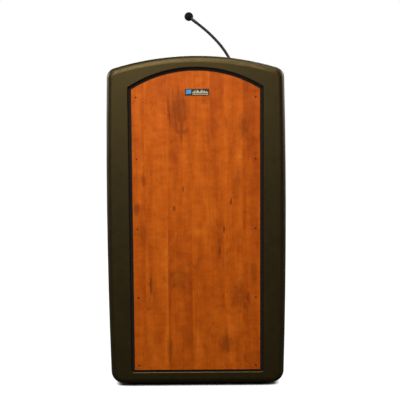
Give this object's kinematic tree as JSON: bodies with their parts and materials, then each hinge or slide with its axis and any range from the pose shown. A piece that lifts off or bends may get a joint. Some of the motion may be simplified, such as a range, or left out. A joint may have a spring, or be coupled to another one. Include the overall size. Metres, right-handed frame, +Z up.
{
  "type": "lectern podium",
  "caption": "Full-height moulded lectern with an arched, bowed front frame, inset wood-grain panel, sloping desk, rear shelf, hidden casters and a gooseneck microphone.",
  "frame": {"origin": "on the floor under the middle of the lectern's box", "axes": "+X to the audience's right, -Y towards the audience (the arched front panel), +Z up"},
  "size_m": [0.6428, 0.52, 1.3543],
  "materials": {
    "moulded_shell": "moulded, fine leather-like texture",
    "cherry_laminate": "satin decorative laminate",
    "laminate_edge": "satin edging strip",
    "black_screw": "black oxide",
    "brass_insert": "turned",
    "zinc_steel": "zinc plated",
    "badge_enamel": "enamelled plate",
    "adhesive_foam": "foam tape",
    "seal_rubber": "extruded rubber strip",
    "birch_ply": "sanded plywood",
    "wheel_nylon": "moulded",
    "wheel_tyre": "soft tread",
    "pedal_plastic": "moulded",
    "neck_black": "satin black",
    "capsule_black": "black anodised",
    "windscreen_foam": "open-cell foam",
    "bush_rubber": "matt",
    "lead_jacket": "matt jacket",
    "clip_nylon": "moulded",
    "box_plastic": "moulded",
    "output_steel": "powder coated",
    "socket_metal": "nickel plated"
  },
  "bodies": {
    "cabinet": {"shell": "moulded_shell", "front_panel": "cherry_laminate", "panel_seal": "seal_rubber", "panel_screws": "black_screw", "panel_inserts": "brass_insert", "badge_plate": "badge_enamel", "badge_adhesive": "adhesive_foam", "desk_board": "cherry_laminate", "desk_edge_band": "laminate_edge", "desk_screws": "zinc_steel", "shelf_board": "cherry_laminate", "shelf_edge_band": "laminate_edge", "shelf_cleats": "zinc_steel", "shelf_screws": "zinc_steel", "cleat_screws": "zinc_steel", "caster_board": "birch_ply", "board_screws": "zinc_steel", "caster_bolts": "zinc_steel", "caster_nuts": "zinc_steel", "mic_flange": "neck_black", "mic_flange_screws": "black_screw", "mic_isolator": "bush_rubber", "neck_stem": "neck_black", "mic_lead": "lead_jacket", "lead_clips": "clip_nylon", "clip_screws": "zinc_steel", "output_box": "box_plastic", "output_plate": "output_steel", "output_socket": "socket_metal", "output_screws": "zinc_steel", "caster_plate_fl": "zinc_steel", "caster_plate_fr": "zinc_steel", "caster_plate_rl": "zinc_steel", "caster_plate_rr": "zinc_steel"},
    "swivel_fl": {"caster_fork_fl": "zinc_steel", "caster_axle_fl": "zinc_steel"},
    "wheel_fl": {"caster_wheel_fl": "wheel_nylon", "caster_tyre_fl": "wheel_tyre"},
    "swivel_fr": {"caster_fork_fr": "zinc_steel", "caster_axle_fr": "zinc_steel"},
    "wheel_fr": {"caster_wheel_fr": "wheel_nylon", "caster_tyre_fr": "wheel_tyre"},
    "swivel_rl": {"caster_fork_rl": "zinc_steel", "caster_axle_rl": "zinc_steel"},
    "wheel_rl": {"caster_wheel_rl": "wheel_nylon", "caster_tyre_rl": "wheel_tyre"},
    "brake_rl": {"brake_pedal_rl": "pedal_plastic"},
    "swivel_rr": {"caster_fork_rr": "zinc_steel", "caster_axle_rr": "zinc_steel"},
    "wheel_rr": {"caster_wheel_rr": "wheel_nylon", "caster_tyre_rr": "wheel_tyre"},
    "brake_rr": {"brake_pedal_rr": "pedal_plastic"},
    "neck_1": {"neck_link_1": "neck_black"},
    "neck_2": {"neck_link_2": "neck_black"},
    "neck_3": {"neck_link_3": "neck_black"},
    "neck_4": {"neck_link_4": "neck_black"},
    "neck_5": {"neck_link_5": "neck_black"},
    "neck_6": {"neck_link_6": "neck_black", "mic_capsule": "capsule_black", "windscreen": "windscreen_foam"}
  },
  "joints": [
    {"name": "swivel_fl", "type": "hinge", "parent": "cabinet", "child": "swivel_fl", "pos_m": [-0.2, -0.17, 0.056], "axis": [0, 0, 1], "continuous": true},
    {"name": "roll_fl", "type": "hinge", "parent": "swivel_fl", "child": "wheel_fl", "pos_m": [-0.2, -0.148, 0.025], "axis": [1, 0, 0], "continuous": true},
    {"name": "swivel_fr", "type": "hinge", "parent": "cabinet", "child": "swivel_fr", "pos_m": [0.2, -0.17, 0.056], "axis": [0, 0, 1], "continuous": true},
    {"name": "roll_fr", "type": "hinge", "parent": "swivel_fr", "child": "wheel_fr", "pos_m": [0.2, -0.148, 0.025], "axis": [1, 0, 0], "continuous": true},
    {"name": "swivel_rl", "type": "hinge", "parent": "cabinet", "child": "swivel_rl", "pos_m": [-0.2, 0.155, 0.056], "axis": [0, 0, 1], "continuous": true},
    {"name": "roll_rl", "type": "hinge", "parent": "swivel_rl", "child": "wheel_rl", "pos_m": [-0.2, 0.177, 0.025], "axis": [1, 0, 0], "continuous": true},
    {"name": "brake_rl", "type": "hinge", "parent": "swivel_rl", "child": "brake_rl", "pos_m": [-0.2, 0.19693, 0.04875], "axis": [-1, 0, 0], "range_deg": [0, 12]},
    {"name": "swivel_rr", "type": "hinge", "parent": "cabinet", "child": "swivel_rr", "pos_m": [0.2, 0.155, 0.056], "axis": [0, 0, 1], "continuous": true},
    {"name": "roll_rr", "type": "hinge", "parent": "swivel_rr", "child": "wheel_rr", "pos_m": [0.2, 0.177, 0.025], "axis": [1, 0, 0], "continuous": true},
    {"name": "brake_rr", "type": "hinge", "parent": "swivel_rr", "child": "brake_rr", "pos_m": [0.2, 0.19693, 0.04875], "axis": [-1, 0, 0], "range_deg": [0, 12]},
    {"name": "neck_bend_1", "type": "hinge", "parent": "cabinet", "child": "neck_1", "pos_m": [0.13274, -0.1502, 1.15163], "axis": [0, 0.8933, -0.4494], "range_deg": [-15, 20]},
    {"name": "neck_bend_2", "type": "hinge", "parent": "neck_1", "child": "neck_2", "pos_m": [0.12181, -0.13194, 1.18552], "axis": [0.934, 0.1853, 0.3055], "range_deg": [-20, 20]},
    {"name": "neck_bend_3", "type": "hinge", "parent": "neck_2", "child": "neck_3", "pos_m": [0.10423, -0.11155, 1.21533], "axis": [0, 0.8164, -0.5775], "range_deg": [-15, 20]},
    {"name": "neck_bend_4", "type": "hinge", "parent": "neck_3", "child": "neck_4", "pos_m": [0.08288, -0.09143, 1.24279], "axis": [0.8244, 0.3379, 0.4541], "range_deg": [-20, 20]},
    {"name": "neck_bend_5", "type": "hinge", "parent": "neck_4", "child": "neck_5", "pos_m": [0.05878, -0.07204, 1.26844], "axis": [0, 0.7958, -0.6056], "range_deg": [-15, 20]},
    {"name": "neck_bend_6", "type": "hinge", "parent": "neck_5", "child": "neck_6", "pos_m": [0.03251, -0.05353, 1.29259], "axis": [0.7372, 0.4118, 0.5357], "range_deg": [-20, 20]}
  ],
  "couplings": [
    {"joint": "neck_bend_3", "follows": "neck_bend_1", "ratio": 1},
    {"joint": "neck_bend_4", "follows": "neck_bend_2", "ratio": 1},
    {"joint": "neck_bend_5", "follows": "neck_bend_1", "ratio": 1},
    {"joint": "neck_bend_6", "follows": "neck_bend_2", "ratio": 1}
  ]
}
